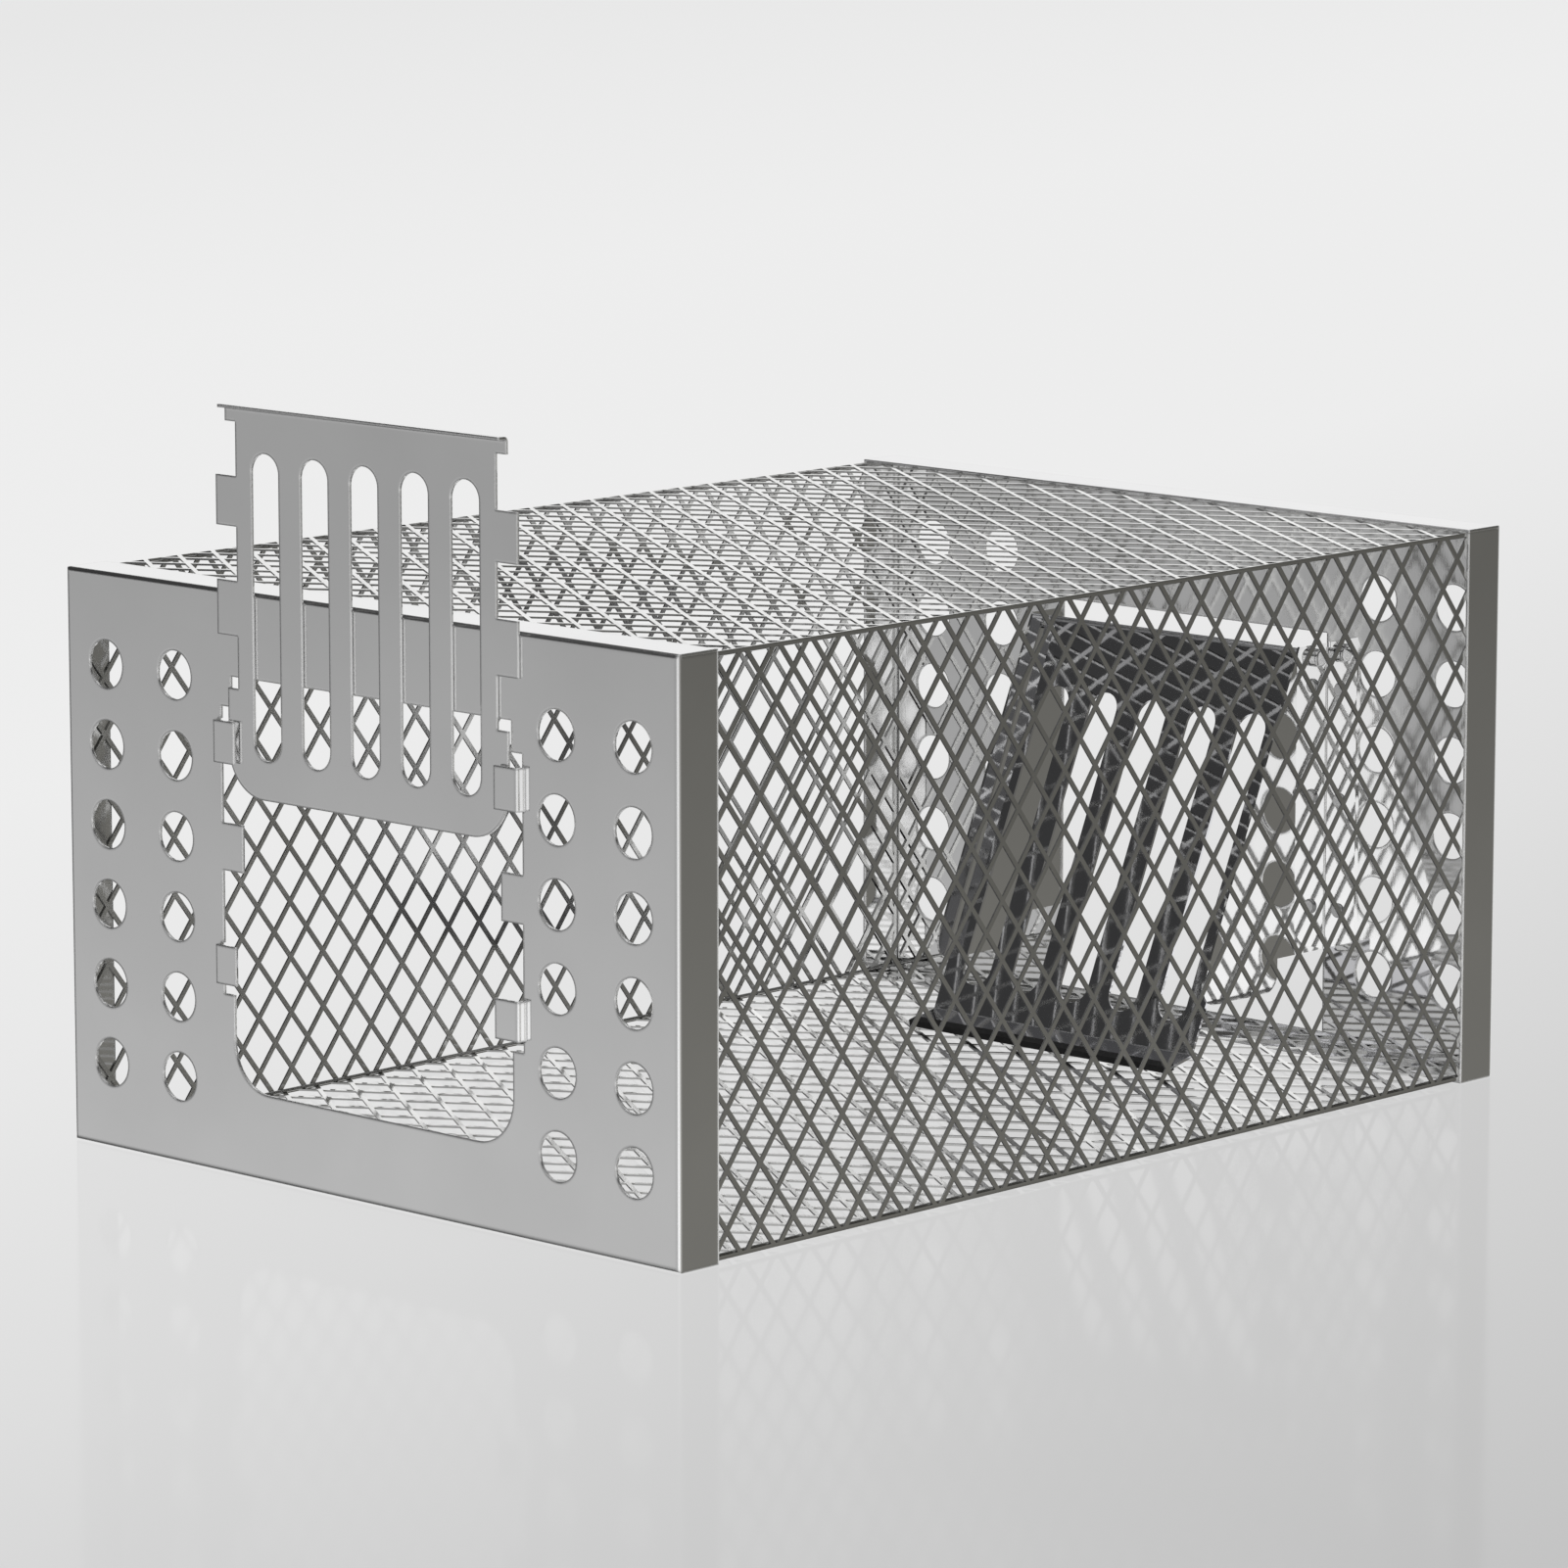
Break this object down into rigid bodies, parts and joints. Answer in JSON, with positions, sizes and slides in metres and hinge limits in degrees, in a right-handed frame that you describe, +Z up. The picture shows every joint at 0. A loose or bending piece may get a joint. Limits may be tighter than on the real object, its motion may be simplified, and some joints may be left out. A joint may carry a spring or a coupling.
{
  "type": "kennel cage",
  "caption": "Small wire-mesh animal cage with folded sheet ends, a lifting front gate and a leaning one-way rear flap.",
  "frame": {"origin": "centre of the footprint's bounding box on the resting plane, gate raised", "axes": "+X to the right seen from the gate, -Y out of the gate end, +Z up"},
  "size_m": [0.35, 0.5106, 0.3155],
  "materials": {
    "panel_sheet": "bright polished sheet",
    "gate_sheet": "bright polished sheet",
    "mesh_steel": "bright zinc-dipped mesh",
    "rod_steel": "drawn wire",
    "flap_sheet": "polished sheet, slightly darker",
    "edging_rubber": "matt black",
    "rivet_metal": "plain"
  },
  "bodies": {
    "cage": {"front_panel": "panel_sheet", "rear_panel": "panel_sheet", "roof_mesh": "mesh_steel", "floor_mesh": "mesh_steel", "left_mesh": "mesh_steel", "right_mesh": "mesh_steel", "edge_rod_roof_left": "rod_steel", "edge_rod_roof_right": "rod_steel", "edge_rod_floor_left": "rod_steel", "edge_rod_floor_right": "rod_steel", "left_cheek": "panel_sheet", "right_cheek": "panel_sheet", "cheek_rivets_left": "rivet_metal", "cheek_rivets_right": "rivet_metal", "flap_hinge_rod": "rod_steel", "rod_retainer_left": "rod_steel", "rod_retainer_right": "rod_steel"},
    "gate": {"gate": "gate_sheet"},
    "flap": {"flap": "flap_sheet", "flap_edge_strip": "edging_rubber"}
  },
  "joints": [
    {"name": "gate_slide", "type": "slide", "parent": "cage", "child": "gate", "axis": [0, 0, 1], "range_m": [-0.121, 0]},
    {"name": "flap_hinge", "type": "hinge", "parent": "cage", "child": "flap", "pos_m": [0.0046, 0.243, 0.17441], "axis": [-1, 0, 0], "range_deg": [0, 75]}
  ]
}
